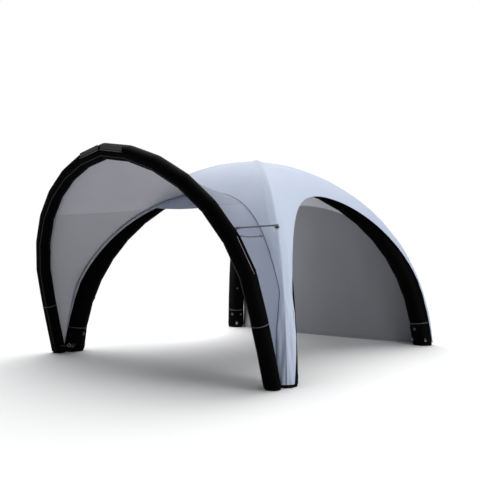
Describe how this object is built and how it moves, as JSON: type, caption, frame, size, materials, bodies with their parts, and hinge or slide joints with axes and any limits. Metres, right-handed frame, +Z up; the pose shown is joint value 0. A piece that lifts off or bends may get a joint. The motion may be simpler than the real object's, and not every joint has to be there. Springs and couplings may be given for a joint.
{
  "type": "inflatable event tent",
  "caption": "Air-beam dome tent with a stretched canopy, open arched sides, a back wall and a forward-leaning arched awning held off by struts.",
  "frame": {"origin": "middle of the footprint on the ground", "axes": "+Z up, -Y towards the open front under the awning, mirrored in X"},
  "size_m": [4.9814, 6.0608, 3.464],
  "materials": {
    "canopy_cloth": "light blue-white coated polyester, matt",
    "wall_cloth": "grey coated polyester, matt",
    "beam_cloth": "black coated air-beam sleeve, satin",
    "sole_rubber": "black rubberised base",
    "webbing": "grey polyester webbing",
    "valve_plastic": "black moulded plastic",
    "eyelet_metal": "plated steel ring",
    "strut_metal": "grey anodised tube"
  },
  "bodies": {
    "root": {"canopy_right": "canopy_cloth", "canopy_back": "canopy_cloth", "canopy_left": "canopy_cloth", "canopy_front": "canopy_cloth", "crown": "beam_cloth", "leg_front_right": "beam_cloth", "sole_front_right": "sole_rubber", "leg_strap_front_right": "webbing", "valve_front_right_a": "valve_plastic", "valve_front_right_b": "valve_plastic", "eyelet_front_right": "eyelet_metal", "leg_back_right": "beam_cloth", "sole_back_right": "sole_rubber", "leg_strap_back_right": "webbing", "valve_back_right_a": "valve_plastic", "valve_back_right_b": "valve_plastic", "eyelet_back_right": "eyelet_metal", "leg_back_left": "beam_cloth", "sole_back_left": "sole_rubber", "leg_strap_back_left": "webbing", "valve_back_left_a": "valve_plastic", "valve_back_left_b": "valve_plastic", "eyelet_back_left": "eyelet_metal", "leg_front_left": "beam_cloth", "sole_front_left": "sole_rubber", "leg_strap_front_left": "webbing", "valve_front_left_a": "valve_plastic", "valve_front_left_b": "valve_plastic", "eyelet_front_left": "eyelet_metal", "awning_arch": "beam_cloth", "awning_roof": "canopy_cloth", "awning_side_right": "canopy_cloth", "awning_side_left": "canopy_cloth", "back_wall": "wall_cloth", "front_valance": "canopy_cloth", "arch_sole_right": "sole_rubber", "arch_strap_right": "webbing", "strut_right": "strut_metal", "strut_dome_bracket_right": "strut_metal", "strut_arch_bracket_right": "strut_metal", "arch_sole_left": "sole_rubber", "arch_strap_left": "webbing", "strut_left": "strut_metal", "strut_dome_bracket_left": "strut_metal", "strut_arch_bracket_left": "strut_metal"}
  },
  "joints": []
}
